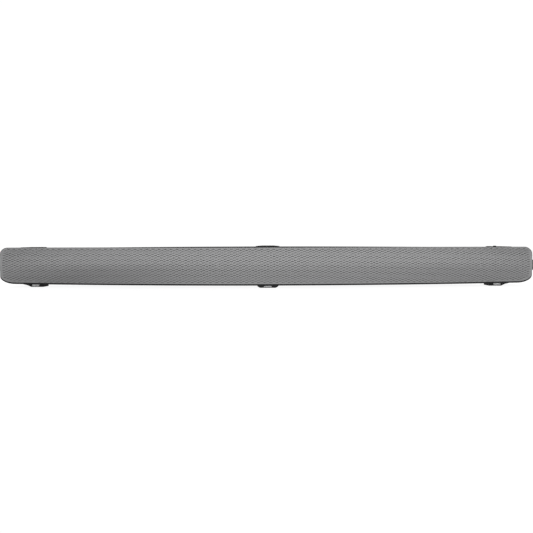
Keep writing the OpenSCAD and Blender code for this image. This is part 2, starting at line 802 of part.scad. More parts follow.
// Something soldered to a board's front face: a block of size w, t, h.
module part_front(x, z, w, t, h) {
    box([x - w / 2, board_y - t, z - h / 2], [x + w / 2, board_y + 0.1, z + h / 2]);
}

BOARDS = [[-165, 190, 56], [118, 108, 56], [235, 96, 56]];

module main_board() {
    b = BOARDS[0];
    color(board_green) difference() {
        union() {
            upright_board(b[0], b[1], b[2]);
            part_front(b[0] - 20, board_z + 4, 26, 2.2, 26);
            part_front(b[0] + 24, board_z + 6, 16, 1.6, 16);
            for (i = [0:3]) part_front(b[0] + 52, board_z - 18 + i * 12, 10, 2, 7);
            for (i = [0:5]) part_front(b[0] - 80 + i * 8, board_z - 20, 4, 1.2, 6);
            part_front(b[0] + 78, board_z, 8, 5, 30);
        }
        board_holes(b[0], b[1], b[2]);
    }
}

// Sockets stand on the board's back face and reach through the floor of the bay.
SOCKETS = [[-212, 15.4, 6.4], [-190, 15.4, 6.4], [-165, 13.4, 6.6], [-142, 10, 10]];
jack_x = -120;
wireless_x = 262;
panel_screw_x = [-430, -305, -45, 205, 305, 430];
panel_screw_z = [14, 70];
baffle_screw_x = [-485, -235, -160, 160, 235, 485];
strut_x = [-448, -367, -245, -125, 125, 245, 367, 448];
wireless_y = 42;
socket_back = bay_y + bay_wall + 4;

module signal_sockets() {
    color("#2b2d31") {
        for (s = SOCKETS) difference() {
            box([s[0] - s[1] / 2, board_y + board_t + touch, board_z - s[2] / 2],
                [s[0] + s[1] / 2, socket_back, board_z + s[2] / 2]);
            box([s[0] - s[1] / 2 + 0.8, socket_back - 7, board_z - s[2] / 2 + 0.8],
                [s[0] + s[1] / 2 - 0.8, socket_back + 1, board_z - 0.6]);
            box([s[0] - s[1] / 2 + 0.8, socket_back - 7, board_z + 0.6],
                [s[0] + s[1] / 2 - 0.8, socket_back + 1, board_z + s[2] / 2 - 0.8]);
        }
        difference() {
            hole_y(jack_x, board_z, 4, board_y + board_t + touch, socket_back);
            hole_y(jack_x, board_z, 1.8, socket_back - 8, socket_back + 1);
        }
    }
}

// A tray let into the back, so that plugs stay inside the cabinet's depth.
module bay(x, w) {
    difference() {
        box([x - w / 2, bay_y, board_z - bay_h / 2], [x + w / 2, back_y, board_z + bay_h / 2]);
        box([x - w / 2 + bay_wall, bay_y + bay_wall, board_z - bay_h / 2 + bay_wall],
            [x + w / 2 - bay_wall, back_y + 1, board_z + bay_h / 2 - bay_wall]);
    }
}

module signal_bay() {
    color(black) difference() {
        bay(signal_bay_x, signal_bay_w);
        for (s = SOCKETS) box([s[0] - s[1] / 2 - fit, bay_y - 1, board_z - s[2] / 2 - fit],
            [s[0] + s[1] / 2 + fit, bay_y + bay_wall + 1, board_z + s[2] / 2 + fit]);
        hole_y(jack_x, board_z, 4 + fit, bay_y - 1, bay_y + bay_wall + 1);
    }
}

module mains_bay() {
    color(black) difference() {
        bay(mains_bay_x, mains_bay_w);
        plate_xz(mains_bay_x, board_z, 24 + 2 * fit, 16 + 2 * fit, 3, bay_y - 1, bay_wall + 2);
    }
}

// Two-pole appliance inlet: a figure-of-eight well with its two pins.
module mains_inlet() {
    pin_x = 4.3;
    face = bay_y + bay_wall + 8;
    color("#101012") difference() {
        plate_xz(mains_bay_x, board_z, 24, 16, 3, board_y + board_t + touch, face - board_y - board_t - touch);
        plate_xz(mains_bay_x, board_z, 17, 9, 4.4, face - 9.5, 12);
    }
    color(steel) for (s = [-1, 1]) hole_y(mains_bay_x + s * pin_x, board_z, 1.2, face - 10, face - 1.5);
}

module amplifier_board() {
    b = BOARDS[1];
    color(board_green) difference() {
        union() {
            upright_board(b[0], b[1], b[2]);
            for (i = [0:3]) part_front(b[0] - 36 + i * 24, board_z + 8, 12, 7, 12);
            for (i = [0:3]) part_front(b[0] - 36 + i * 24, board_z - 12, 8, 5, 8);
        }
        board_holes(b[0], b[1], b[2]);
    }
}

module heat_sink() {
    y0 = board_y + board_t + touch;
    color("#c3c6ca") {
        box([70, y0, board_z - 18], [166, y0 + 3, board_z + 18]);
        for (i = [0:11]) box([71 + i * 8.4, y0 + 2, board_z - 18], [72.6 + i * 8.4, y0 + 19, board_z + 18]);
    }
}

module power_board() {
    b = BOARDS[2];
    color("#3c6b48") difference() {
        union() {
            upright_board(b[0], b[1], b[2]);
            part_front(b[0] - 24, board_z + 2, 26, 15, 30);
            for (i = [0:1]) translate([b[0] + 4, board_y + 0.1, board_z - 10 + 20 * i]) rotate([90, 0, 0]) cylinder(r = 8, h = 16);
            part_front(b[0] + 26, board_z + 12, 16, 9, 12);
            part_front(b[0] + 26, board_z - 8, 12, 11, 14);
        }
        board_holes(b[0], b[1], b[2]);
    }
}

module board_screws() {
    color(steel) for (b = BOARDS) for (i = [-1, 1]) for (j = [-1, 1])
        translate([b[0] + i * (b[1] / 2 - 4), board_y - touch, board_z + j * (b[2] / 2 - 4)])
            rotate([90, 0, 0]) screw(2.8, 1.4, 2.6);
}

module wireless_module() {
    color("#a7abb0") {
        box([-wireless_x - 20, wireless_y, 30], [-wireless_x + 20, wireless_y + 1.2, 56]);
        box([-wireless_x - 16, wireless_y - 2.6, 33], [-wireless_x + 8, wireless_y + 0.1, 53]);
    }
}

module antennas() {
    roof_z = top_z(wireless_x + 20) - wall - 0.3;
    color("#c98b3c") for (x = [-wireless_x, wireless_x])
        box([x - 20, 8, roof_z - 0.6], [x + 20, 22, roof_z]);
}

module receiver_board() {
    x0 = 128;
    color(board_green) on_bow(x0 + 55, baffle_setback - 0.2, 34) {
        translate([-15, -8, 0]) cube([30, 16, board_t]);
        translate([-8, 0, board_t - 0.1]) cylinder(r = 2.8, h = 3.4);
        for (i = [0:3]) translate([i * 4 - 1, -1, board_t - 0.1]) cube([2, 2, 1]);
    }
}

// ---- Assembly ----

if (shown("rear_cabinet")) rear_cabinet();
if (shown("back_panel")) back_panel();
if (shown("front_baffle")) front_baffle();
if (shown("left_end_cap")) end_cap(-1);
if (shown("right_end_cap")) end_cap(1);
if (shown("grille")) grille();
if (shown("grille_cloth")) grille_cloth();
if (shown("grille_frame")) grille_frame();
if (shown("left_bracket")) bracket(-1);
if (shown("right_bracket")) bracket(1);
if (shown("centre_foot")) centre_foot();
if (shown("foot_pads")) foot_pads();
if (shown("control_pod")) control_pod();
if (shown("status_lens")) status_lens();
if (shown("control_board")) control_board();
if (shown("main_board")) main_board();
if (shown("signal_bay")) signal_bay();
if (shown("signal_sockets")) signal_sockets();
if (shown("amplifier_board")) amplifier_board();
if (shown("heat_sink")) heat_sink();
if (shown("power_board")) power_board();
if (shown("mains_bay")) mains_bay();
if (shown("mains_inlet")) mains_inlet();
if (shown("wireless_module")) wireless_module();
if (shown("antennas")) antennas();
if (shown("receiver_board")) receiver_board();
if (shown("left_port")) port(-1);
if (shown("right_port")) port(1);
if (shown("speaker_wires")) speaker_wires();
if (shown("damping_pads")) damping_pads();
if (shown("cabinet_screws")) cabinet_screws();
if (shown("driver_screws")) driver_screws();
if (shown("board_screws")) board_screws();
if (shown("wall_inserts")) wall_inserts();
for (i = [0:3]) if (shown(str(BUTTONS[i], "_button"))) button(i);
for (w = WOOFERS) if (shown(str(w[0], "_woofer_frame"))) woofer_frame(w[1]);
for (w = WOOFERS) if (shown(str(w[0], "_woofer_magnet"))) woofer_magnet(w[1]);
for (w = WOOFERS) if (shown(str(w[0], "_woofer_cone"))) woofer_cone(w[1]);
for (w = WOOFERS) if (shown(str(w[0], "_woofer_suspension"))) woofer_suspension(w[1]);
for (t = TWEETERS) if (shown(str(t[0], "_tweeter"))) tweeter(t[1]);
for (t = TWEETERS) if (shown(str(t[0], "_tweeter_dome"))) tweeter_dome(t[1]);
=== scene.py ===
"""Looks of a bowed television soundbar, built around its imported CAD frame."""

import json
import math
import random

import bmesh
import bpy
from mathutils import Matrix, Vector


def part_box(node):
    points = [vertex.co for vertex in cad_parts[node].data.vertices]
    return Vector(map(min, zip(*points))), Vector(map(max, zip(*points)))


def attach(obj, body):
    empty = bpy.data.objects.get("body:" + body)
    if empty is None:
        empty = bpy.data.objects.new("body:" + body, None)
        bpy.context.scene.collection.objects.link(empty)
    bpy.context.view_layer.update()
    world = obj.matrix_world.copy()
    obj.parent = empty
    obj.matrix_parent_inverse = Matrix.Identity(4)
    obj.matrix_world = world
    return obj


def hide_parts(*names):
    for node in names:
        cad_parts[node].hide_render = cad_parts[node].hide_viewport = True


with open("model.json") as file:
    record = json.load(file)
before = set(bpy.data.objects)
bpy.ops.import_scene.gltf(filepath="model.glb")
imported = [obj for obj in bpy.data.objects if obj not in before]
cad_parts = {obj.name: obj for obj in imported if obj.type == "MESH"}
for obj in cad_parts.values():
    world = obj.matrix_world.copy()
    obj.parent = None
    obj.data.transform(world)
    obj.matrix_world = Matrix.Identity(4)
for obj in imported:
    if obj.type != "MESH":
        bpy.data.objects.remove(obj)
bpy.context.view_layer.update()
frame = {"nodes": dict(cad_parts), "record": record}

MM = 0.001

# ---------------------------------------------------------------- curves of the front, in mm

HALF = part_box("grille")[1].x / MM
BODY_HALF = 529.0
BOW = 35.0
CROWN_R = 76.5
FRONT_Y = -56.0
ARC_R = (BODY_HALF**2 + BOW**2) / (2 * BOW)
ARC_Y = FRONT_Y + ARC_R
GRILLE_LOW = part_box("grille")[0].z / MM
GRILLE_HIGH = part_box("grille")[1].z / MM
CROWN_Z = (GRILLE_LOW + GRILLE_HIGH) / 2
BOTTOM_RISE = 2.6
TOP_CORNER = 11.5
BOTTOM_CORNER = 13.0
TOP_STRETCH = 1.1
BOTTOM_STRETCH = 2.0
CORNER_STEPS = 10
CORNER_STEP_DEG = 9
EDGE_END = 480
EDGE_STEP = 60


def on_face(u, v, depth):
    """The point u along the bow and v up the crown, at a depth behind the grille's face."""
    phi = v / CROWN_R
    rho = ARC_R - CROWN_R + (CROWN_R - depth) * math.cos(phi)
    a = u / ARC_R
    z = CROWN_Z + (CROWN_R - depth) * math.sin(phi)
    return Vector((rho * math.sin(a), ARC_Y - rho * math.cos(a), z)) * MM


def unrolled(x, z):
    """Where a point of the front view lies on the flat sheet."""
    phi = math.asin((z - CROWN_Z) / CROWN_R)
    rho = ARC_R - CROWN_R + CROWN_R * math.cos(phi)
    return (math.asin(x / rho) * ARC_R, phi * CROWN_R)


def outline(inset):
    """The sheet outline, anticlockwise, taken in by inset: straight above, arched below, round corners."""
    half = HALF - inset
    high_top, high_bottom = TOP_CORNER - inset / 2, BOTTOM_CORNER - inset / 2
    wide_top, wide_bottom = high_top * TOP_STRETCH, high_bottom * BOTTOM_STRETCH
    top = GRILLE_HIGH - inset

    def bottom(x):
        return GRILLE_LOW + inset + BOTTOM_RISE * (x / BODY_HALF) ** 2

    def corner(cx, cz, wide, high, start):
        angles = [math.radians(start + CORNER_STEP_DEG * i) for i in range(CORNER_STEPS + 1)]
        return [(cx + wide * math.cos(a), cz + high * math.sin(a)) for a in angles]

    low_x, high_x = half - wide_bottom, half - wide_top
    points = corner(-low_x, bottom(low_x) + high_bottom, wide_bottom, high_bottom, 180)
    points += [(x, bottom(x)) for x in range(-EDGE_END, EDGE_END + 1, EDGE_STEP)]
    points += corner(low_x, bottom(low_x) + high_bottom, wide_bottom, high_bottom, 270)
    points += corner(high_x, top - high_top, wide_top, high_top, 0)
    points += [(x, top) for x in range(EDGE_END, -EDGE_END - 1, -EDGE_STEP)]
    points += corner(-high_x, top - high_top, wide_top, high_top, 90)
    return [unrolled(x, z) for x, z in points]


def signed(p, a, b):
    """How far p is to the left of the line from a to b."""
    dx, dy = b[0] - a[0], b[1] - a[1]
    return (dx * (p[1] - a[1]) - dy * (p[0] - a[0])) / math.hypot(dx, dy)


def inside(points, edge, margin):
    return all(signed(p, edge[i - 1], edge[i]) > margin for p in points for i in range(len(edge)))


def clipped(poly, edge):
    """The part of a convex polygon inside a convex outline."""
    for i in range(len(edge)):
        a, b = edge[i - 1], edge[i]
        side = [signed(p, a, b) for p in poly]
        out = []
        for j, p in enumerate(poly):
            q, sp, sq = poly[j - 1], side[j], side[j - 1]
            if (sp > 0) != (sq > 0):
                t = sq / (sq - sp)
                out.append((q[0] + (p[0] - q[0]) * t, q[1] + (p[1] - q[1]) * t))
            if sp > 0:
                out.append(p)
        poly = out
        if len(poly) < 3:
            return []
    return poly


# ---------------------------------------------------------------- meshes


SHARP_ANGLE = math.radians(35)


def add_object(name, mesh, body="soundbar", replaces=()):
    obj = bpy.data.objects.new(name, mesh)
    bpy.context.scene.collection.objects.link(obj)
    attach(obj, body)
    if replaces:
        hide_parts(*replaces)
    return obj


def sheet_mesh(name, faces, front, back=None):
    """A mesh from flat polygons: the face at one depth and, if back is given, a closed sheet."""
    index, flat = {}, []

    def key(p):
        k = (round(p[0], 4), round(p[1], 4))
        if k not in index:
            index[k] = len(flat)
            flat.append(p)
        return index[k]

    polys = []
    for poly in faces:
        ids = [key(p) for p in poly]
        ids = [i for n, i in enumerate(ids) if i != ids[n - 1]]
        if len(set(ids)) > 2:
            polys.append(ids)
    verts = [on_face(u, v, front) for u, v in flat]
    out = [list(p) for p in polys]
    if back is not None:
        n = len(flat)
        verts += [on_face(u, v, back) for u, v in flat]
        out += [[i + n for i in reversed(p)] for p in polys]
        edges = {(p[i - 1], p[i]) for p in polys for i in range(len(p))}
        out += [[b, a, a + n, b + n] for a, b in edges if (b, a) not in edges]
    mesh = bpy.data.meshes.new(name)
    mesh.from_pydata(verts, [], out)
    mesh.validate()
    mesh.shade_smooth()
    mesh.set_sharp_from_angle(angle=SHARP_ANGLE)
    return mesh


SLOT_PITCH = 11.7
ROW_PITCH = 2.43
SLOT_HALF = 2.95
SLOT_R = 0.54
SLOT_TILT = math.radians(4.5)
SLOT_MARGIN = 0.5
SLOT_RIM = ((90, 1), (30, 1), (-30, 1), (-90, 1), (-90, -1), (-30, -1), (30, -1), (90, -1))
GRILLE_HALF_V = 36
GRILLE_SHEET = 1.0


def brick(row, column):
    """The six corners of the cell round one slot, anticlockwise from its lower left."""
    u0 = (column + 0.5 * (row % 2)) * SLOT_PITCH
    v0 = row * ROW_PITCH
    um, u1, v1 = u0 + SLOT_PITCH / 2, u0 + SLOT_PITCH, v0 + ROW_PITCH
    return [(u0, v0), (um, v0), (u1, v0), (u1, v1), (um, v1), (u0, v1)]


def slotted(cell):
    """The faces of a cell round its slot."""
    cu, cv = cell[1][0], (cell[0][1] + cell[3][1]) / 2
    rim = []
    for t, s in SLOT_RIM:
        along = s * (SLOT_HALF - SLOT_R + SLOT_R * math.cos(math.radians(t)))
        across = SLOT_R * math.sin(math.radians(t))
        rim.append((cu + along * math.cos(SLOT_TILT) - across * math.sin(SLOT_TILT),
                    cv + along * math.sin(SLOT_TILT) + across * math.cos(SLOT_TILT)))
    a, b, c, d, e, f, g, h = rim
    o0, o1, o2, o3, o4, o5 = cell
    return [
        [o0, o1, e], [o1, d, e], [o1, o2, d], [o2, c, d], [o2, o3, b, c], [o3, a, b],
        [o3, o4, a], [o4, h, a], [o4, o5, h], [o5, g, h], [o5, o0, f, g], [o0, e, f],
    ]


def grille():
    edge = outline(0.0)
    rows = int(GRILLE_HALF_V / ROW_PITCH) + 2
    columns = int(HALF / SLOT_PITCH) + 3
    faces = []
    for row in range(-rows, rows):
        for column in range(-columns, columns):
            cell = brick(row, column)
            if inside(cell, edge, SLOT_MARGIN):
                faces += slotted(cell)
            else:
                cut = clipped(cell, edge)
                if cut:
                    faces.append(cut)
    mesh = sheet_mesh("slotted_grille", faces, 0.0, GRILLE_SHEET)
    return add_object("slotted_grille", mesh, replaces=["grille"])


CLOTH_INSET = 2.0
CLOTH_DEPTH = 1.2
CLOTH_CELL_U = 10
CLOTH_CELL_V = 5
CLOTH_COLUMNS = 54
CLOTH_ROWS = 8


def cloth():
    """The acoustic cloth, stretched over the back of the grille."""
    edge = outline(CLOTH_INSET)
    faces, area = [], 0.0
    for i in range(-CLOTH_COLUMNS, CLOTH_COLUMNS):
        for j in range(-CLOTH_ROWS, CLOTH_ROWS):
            u, v = i * CLOTH_CELL_U, j * CLOTH_CELL_V
            cut = clipped(bar(u, v, u + CLOTH_CELL_U, v + CLOTH_CELL_V), edge)
            if cut:
                faces.append(cut)
                area += sum(p[0] * q[1] - q[0] * p[1] for p, q in zip(cut, cut[1:] + cut[:1])) / 2
    mesh = sheet_mesh("acoustic_cloth", faces, CLOTH_DEPTH)
    obj = add_object("acoustic_cloth", mesh, replaces=["grille_cloth"])
    return obj


WADDING_CUTS = 9
WADDING_ROUND = 0.16
WADDING_SHRINK = 0.93
WADDING_LUMP = 0.008
WADDING_WAVES = 6


def wadding(name, low, high, seed):
    """A block of fibre wadding with soft edges and a lumpy skin."""
    rng = random.Random(seed)
    mesh = bpy.data.meshes.new(name)
    bm = bmesh.new()
    bmesh.ops.create_cube(bm, size=1.0)
    bmesh.ops.subdivide_edges(bm, edges=bm.edges, cuts=WADDING_CUTS, use_grid_fill=True)
    size, centre = high - low, (high + low) / 2
    phase = [rng.uniform(0, 6.28) for _ in range(WADDING_WAVES)]
    for v in bm.verts:
        p = v.co * 2
        r = max(abs(p.x), abs(p.y), abs(p.z))
        ball = p.normalized() * r
        p = p.lerp(ball, WADDING_ROUND)
        lump = 0.0
        for k in range(WADDING_WAVES):
            lump += math.sin(phase[k] + (3 + k) * (p.x * 1.3 + p.y * (0.7 + 0.2 * k) - p.z * 1.1))
        p *= WADDING_SHRINK + WADDING_LUMP * lump
        v.co = Vector((p.x * size.x, p.y * size.y, p.z * size.z)) / 2 + centre
    bm.to_mesh(mesh)
    bm.free()
    mesh.shade_smooth()
    obj = add_object(name, mesh)
    sub = obj.modifiers.new("smooth", "SUBSURF")
    sub.levels = sub.render_levels = 1
    return obj


POD_RISE = 0.0012
BUTTON_PROUD = 0.0001
MARK_LIFT = 0.00012
MARK_DROP = -0.0003


def mark(name, polys, button):
    """A thin printed mark on a button, from flat polygons in mm about the button's centre."""
    low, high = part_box(button)
    cx, cy = (low.x + high.x) / 2, (low.y + high.y) / 2
    pod_low, pod_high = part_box("control_pod")
    pod_r = (pod_high.x - pod_low.x) / 2
    dome_r = (pod_r**2 + POD_RISE**2) / (2 * POD_RISE)
    top = pod_high.z + BUTTON_PROUD
    mesh = bpy.data.meshes.new(name)
    bm = bmesh.new()
    for poly in polys:
        rings = []
        for drop in (0.0, MARK_DROP):
            ring = []
            for x, y in poly:
                px, py = cx + x * MM, cy + y * MM
                sag = (px * px + py * py) / (2 * dome_r)
                ring.append(bm.verts.new((px, py, top - sag + MARK_LIFT + drop)))
            rings.append(ring)
        bm.faces.new(rings[0])
        bm.faces.new(list(reversed(rings[1])))
        n = len(poly)
        for i in range(n):
            bm.faces.new([rings[0][i], rings[1][i], rings[1][(i + 1) % n], rings[0][(i + 1) % n]])
    bmesh.ops.recalc_face_normals(bm, faces=bm.faces)
    bm.to_mesh(mesh)
    bm.free()
    return add_object(name, mesh, body=button)


def bar(x0, y0, x1, y1):
    return [(x0, y0), (x1, y0), (x1, y1), (x0, y1)]


def arc_strip(r, width, start, end, steps=20):
    """Short quads along an arc, as one polygon each."""
    out = []
    for i in range(steps):
        a, b = [math.radians(start + (end - start) * k / steps) for k in (i, i + 1)]
        out.append([
            ((r - width / 2) * math.cos(a), (r - width / 2) * math.sin(a)),
            ((r + width / 2) * math.cos(a), (r + width / 2) * math.sin(a)),
            ((r + width / 2) * math.cos(b), (r + width / 2) * math.sin(b)),
            ((r - width / 2) * math.cos(b), (r - width / 2) * math.sin(b)),
        ])
    return out


# ---------------------------------------------------------------- materials


class Graph:
    """A material's node tree, with its shader and texture coordinates to hand."""

    def __init__(self, name, **sockets):
        self.mat = bpy.data.materials.new(name)
        self.mat.use_nodes = True
        self.tree = self.mat.node_tree
        self.shader = self.tree.nodes["Principled BSDF"]
        self.coord = self.tree.nodes.new("ShaderNodeTexCoord").outputs["Object"]
        for socket, value in sockets.items():
            self.shader.inputs[socket.replace("_", " ")].default_value = value

    def node(self, kind, links=None, **values):
        n = self.tree.nodes.new(kind)
        for k, v in values.items():
            if k in n.inputs:
                n.inputs[k].default_value = v
            else:
                setattr(n, k, v)
        for k, source in (links or {}).items():
            self.tree.links.new(source, n.inputs[k])
        return n

    def noise(self, scale, detail=3.0, rough=0.55, stretch=None):
        where = self.coord
        if stretch:
            where = self.node("ShaderNodeMapping", {"Vector": where}, Scale=stretch).outputs[0]
        n = self.node("ShaderNodeTexNoise", {"Vector": where}, Scale=scale, Detail=detail, Roughness=rough)
        return n.outputs["Fac"]

    def wave(self, scale, direction, distortion=0.0):
        n = self.node("ShaderNodeTexWave", {"Vector": self.coord}, Scale=scale, Distortion=distortion)
        n.bands_direction = direction
        return n.outputs["Fac"]

    def math(self, operation, a, b):
        n = self.tree.nodes.new("ShaderNodeMath")
        n.operation = operation
        for i, v in enumerate((a, b)):
            if isinstance(v, (int, float)):
                n.inputs[i].default_value = v
            else:
                self.tree.links.new(v, n.inputs[i])
        return n.outputs[0]

    def ramp(self, fac, stops, socket="Base Color"):
        n = self.node("ShaderNodeValToRGB", {"Fac": fac})
        cr = n.color_ramp
        while len(cr.elements) < len(stops):
            cr.elements.new(0.5)
        for e, (at, colour) in zip(cr.elements, stops):
            e.position = at
            e.color = (*colour, 1.0)
        self.tree.links.new(n.outputs["Color"], self.shader.inputs[socket])
        return n.outputs["Color"]

    def spread(self, fac, start, end, low, high):
        """A value that goes from low to high as fac goes from start to end."""
        n = self.node("ShaderNodeMapRange", {"Value": fac})
        for socket, value in (("From Min", start), ("From Max", end), ("To Min", low), ("To Max", high)):
            n.inputs[socket].default_value = value
        return n.outputs[0]

    def rough(self, fac, low, high):
        n = self.node("ShaderNodeMapRange", {"Value": fac})
        n.inputs["To Min"].default_value = low
        n.inputs["To Max"].default_value = high
        self.tree.links.new(n.outputs[0], self.shader.inputs["Roughness"])

    def bump(self, height, strength, distance, after=None):
        links = {"Height": height}
        if after is not None:
            links["Normal"] = after
        n = self.node("ShaderNodeBump", links, Strength=strength, Distance=distance)
        self.tree.links.new(n.outputs[0], self.shader.inputs["Normal"])
        return n.outputs[0]


def shades(colour, spread):
    low = tuple(max(0.0, c * (1 - spread)) for c in colour)
    high = tuple(min(1.0, c * (1 + spread)) for c in colour)
    return [low, high]


def moulded(name, colour, rough=(0.42, 0.56), grain=2200.0, depth=0.00003, spread=0.12, **sockets):
    """Moulded plastic or rubber: fine spark-eroded grain, slow changes in tone and sheen."""
    g = Graph(name, **sockets)
    lo, hi = shades(colour, spread)
    g.ramp(g.noise(38.0, 5.0), [(0.3, lo), (0.7, hi)])
    g.rough(g.noise(90.0, 4.0), *rough)
    wide = g.bump(g.noise(60.0, 2.0), 0.08, 0.0004)
    g.bump(g.noise(grain, 2.0, 0.6), 0.35, depth, wide)
    return g.mat


def painted(name, colour, rough=(0.4, 0.5), spread=0.05, **sockets):
    """Powder coat: a fine orange peel, faint flow marks and specks."""
    g = Graph(name, **sockets)
    lo, hi = shades(colour, spread)
    g.ramp(g.noise(900.0, 3.0, 0.6), [(0.25, lo), (0.75, hi)])
    g.rough(g.noise(25.0, 3.0), *rough)
    wide = g.bump(g.noise(260.0, 2.0), 0.12, 0.00012)
    g.bump(g.noise(1500.0, 2.0, 0.6), 0.2, 0.00003, wide)
    return g.mat


def metal(name, colour, rough=(0.25, 0.42), stretch=(1.0, 1.0, 30.0), spread=0.1, **sockets):
    """Plated or brushed metal: fine directional scratches and uneven sheen."""
    g = Graph(name, Metallic=1.0, **sockets)
    lo, hi = shades(colour, spread)
    lines = g.noise(400.0, 4.0, 0.65, stretch)
    g.ramp(lines, [(0.3, lo), (0.7, hi)])
    g.rough(g.noise(120.0, 4.0), *rough)
    g.bump(lines, 0.12, 0.00002)
    return g.mat


def woven(name, colour, pitch, rough=(0.8, 0.95), spread=0.35, axes=("X", "Z"), **sockets):
    """A plain weave: two sets of threads, each over and under the other."""
    g = Graph(name, **sockets)
    scale = 1 / (pitch * 20)
    a = g.wave(scale * 3.14, axes[0], 0.3)
    b = g.wave(scale * 3.14, axes[1], 0.3)
    weave = g.math("MULTIPLY", a, b)
    lo, hi = shades(colour, spread)
    g.ramp(g.math("ADD", g.math("MULTIPLY", weave, 0.7), g.math("MULTIPLY", g.noise(500.0), 0.3)),
           [(0.2, lo), (0.6, hi)])
    g.rough(g.noise(200.0), *rough)
    g.bump(weave, 0.5, pitch * 0.3)
    return g.mat


def circuit(name, colour):
    """Solder mask over copper: faint tracks that run both ways, pads and a slight sheen."""
    g = Graph(name, Coat_Weight=0.3, Coat_Roughness=0.2)
    tracks = g.math("GREATER_THAN", g.wave(38.0, "X", 5.0), 0.8)
    cross = g.math("GREATER_THAN", g.wave(31.0, "Z", 6.0), 0.82)
    cells = g.node("ShaderNodeTexVoronoi", {"Vector": g.coord}, Scale=320.0)
    pads = g.math("LESS_THAN", cells.outputs["Distance"], 0.16)
    lines = g.math("MAXIMUM", tracks, cross)
    fac = g.math("ADD", g.math("MULTIPLY", lines, 0.4), g.math("MULTIPLY", pads, 0.6))
    lo, hi = shades(colour, 0.25)
    g.ramp(fac, [(0.0, lo), (0.4, hi), (1.0, (0.55, 0.5, 0.36))])
    g.rough(g.noise(150.0), 0.3, 0.45)
    g.bump(lines, 0.3, 0.00006)
    return g.mat


def fibrous(name, colour, scale, rough=(0.85, 0.97), depth=0.0004, spread=0.2, **sockets):
    """Pressed fibre or wadding: tangled strands with flecks."""
    g = Graph(name, **sockets)
    along = g.noise(scale, 6.0, 0.7, (1.0, 0.25, 1.0))
    across = g.noise(scale, 6.0, 0.7, (0.3, 1.0, 0.8))
    strands = g.math("MULTIPLY", along, across)
    lo, hi = shades(colour, spread)
    g.ramp(strands, [(0.12, lo), (0.4, hi)])
    g.rough(g.noise(scale), *rough)
    g.bump(strands, 0.6, depth)
    return g.mat


def gloss(name, colour, rough=(0.1, 0.2), **sockets):
    """Polished plastic with faint wiping marks."""
    g = Graph(name, Coat_Weight=0.06, Coat_Roughness=0.06, **sockets)
    lo, hi = shades(colour, 0.1)
    g.ramp(g.noise(30.0), [(0.3, lo), (0.7, hi)])
    g.rough(g.noise(140.0, 5.0, 0.6, (1.0, 5.0, 1.0)), *rough)
    g.bump(g.noise(45.0, 2.0), 0.05, 0.0002)
    return g.mat


def lens(name, colour):
    g = Graph(name, Transmission_Weight=0.8, IOR=1.49, Coat_Weight=0.3)
    lo, hi = shades(colour, 0.05)
    g.ramp(g.noise(200.0), [(0.3, lo), (0.7, hi)])
    g.rough(g.noise(300.0), 0.08, 0.18)
    g.bump(g.noise(700.0), 0.1, 0.00005)
    return g.mat


cabinet = moulded("moulded_black", (0.009, 0.0092, 0.0098), Specular_IOR_Level=0.15)
frame_black = moulded("frame_black", (0.010, 0.0102, 0.011), rough=(0.5, 0.62), Specular_IOR_Level=0.25)
foot_black = moulded(
    "foot_black", (0.009, 0.0092, 0.0098), rough=(0.5, 0.62), grain=1700.0, Specular_IOR_Level=0.2
)
inlet = moulded("inlet_plastic", (0.02, 0.02, 0.021), rough=(0.35, 0.5))
baffle = moulded("baffle_board", (0.03, 0.031, 0.033), rough=(0.6, 0.75), grain=1200.0)
pad_rubber = moulded(
    "pad_rubber", (0.64, 0.642, 0.645), rough=(0.65, 0.8), grain=1300.0, depth=0.00006, spread=0.1
)
button_plastic = moulded("button_plastic", (0.028, 0.0285, 0.03), rough=(0.5, 0.62), grain=2600.0)
surround = moulded("surround_rubber", (0.01, 0.01, 0.0105), rough=(0.55, 0.7))
tweeter_plastic = moulded("tweeter_plastic", (0.03, 0.031, 0.033), rough=(0.4, 0.55))
wire_sheath = moulded("wire_sheath", (0.16, 0.02, 0.02), rough=(0.35, 0.5), grain=900.0)
print_ink = moulded("print_ink", (0.5, 0.5, 0.5), rough=(0.5, 0.6), grain=3000.0)
grille_paint = painted("grille_paint", (0.17, 0.17, 0.172), rough=(0.26, 0.32))
basket = painted("basket_paint", (0.035, 0.036, 0.039))
pod_gloss = gloss("pod_gloss", (0.008, 0.0082, 0.0088), Specular_IOR_Level=0.1)
steel = metal("screw_steel", (0.5, 0.51, 0.53))
sockets_metal = metal("socket_metal", (0.44, 0.45, 0.47), rough=(0.22, 0.38))
shield = metal("shield_metal", (0.62, 0.63, 0.65), rough=(0.3, 0.45), stretch=(8.0, 1.0, 1.0))
alloy = metal("heat_sink_metal", (0.72, 0.73, 0.75), rough=(0.3, 0.5), stretch=(20.0, 1.0, 1.0))
brass = metal("insert_brass", (0.72, 0.5, 0.2), rough=(0.2, 0.35))
copper = metal("aerial_copper", (0.75, 0.38, 0.2), rough=(0.25, 0.45), stretch=(12.0, 1.0, 1.0))
magnet = metal("magnet_iron", (0.2, 0.205, 0.21), rough=(0.45, 0.65), spread=0.2)
cloth_black = woven("acoustic_weave", (0.008, 0.008, 0.009), 0.0006)
silk = woven("dome_silk", (0.015, 0.015, 0.016), 0.0005, rough=(0.5, 0.7))
green_board = circuit("circuit_board", (0.012, 0.09, 0.04))
power_green = circuit("power_circuit_board", (0.03, 0.13, 0.06))
cone_fibre = fibrous("cone_fibre", (0.02, 0.0205, 0.022), 900.0, depth=0.0001)
wadding_fibre = fibrous("wadding_fibre", (0.62, 0.6, 0.54), 350.0)
clear = lens("clear_lens", (0.8, 0.88, 0.9))

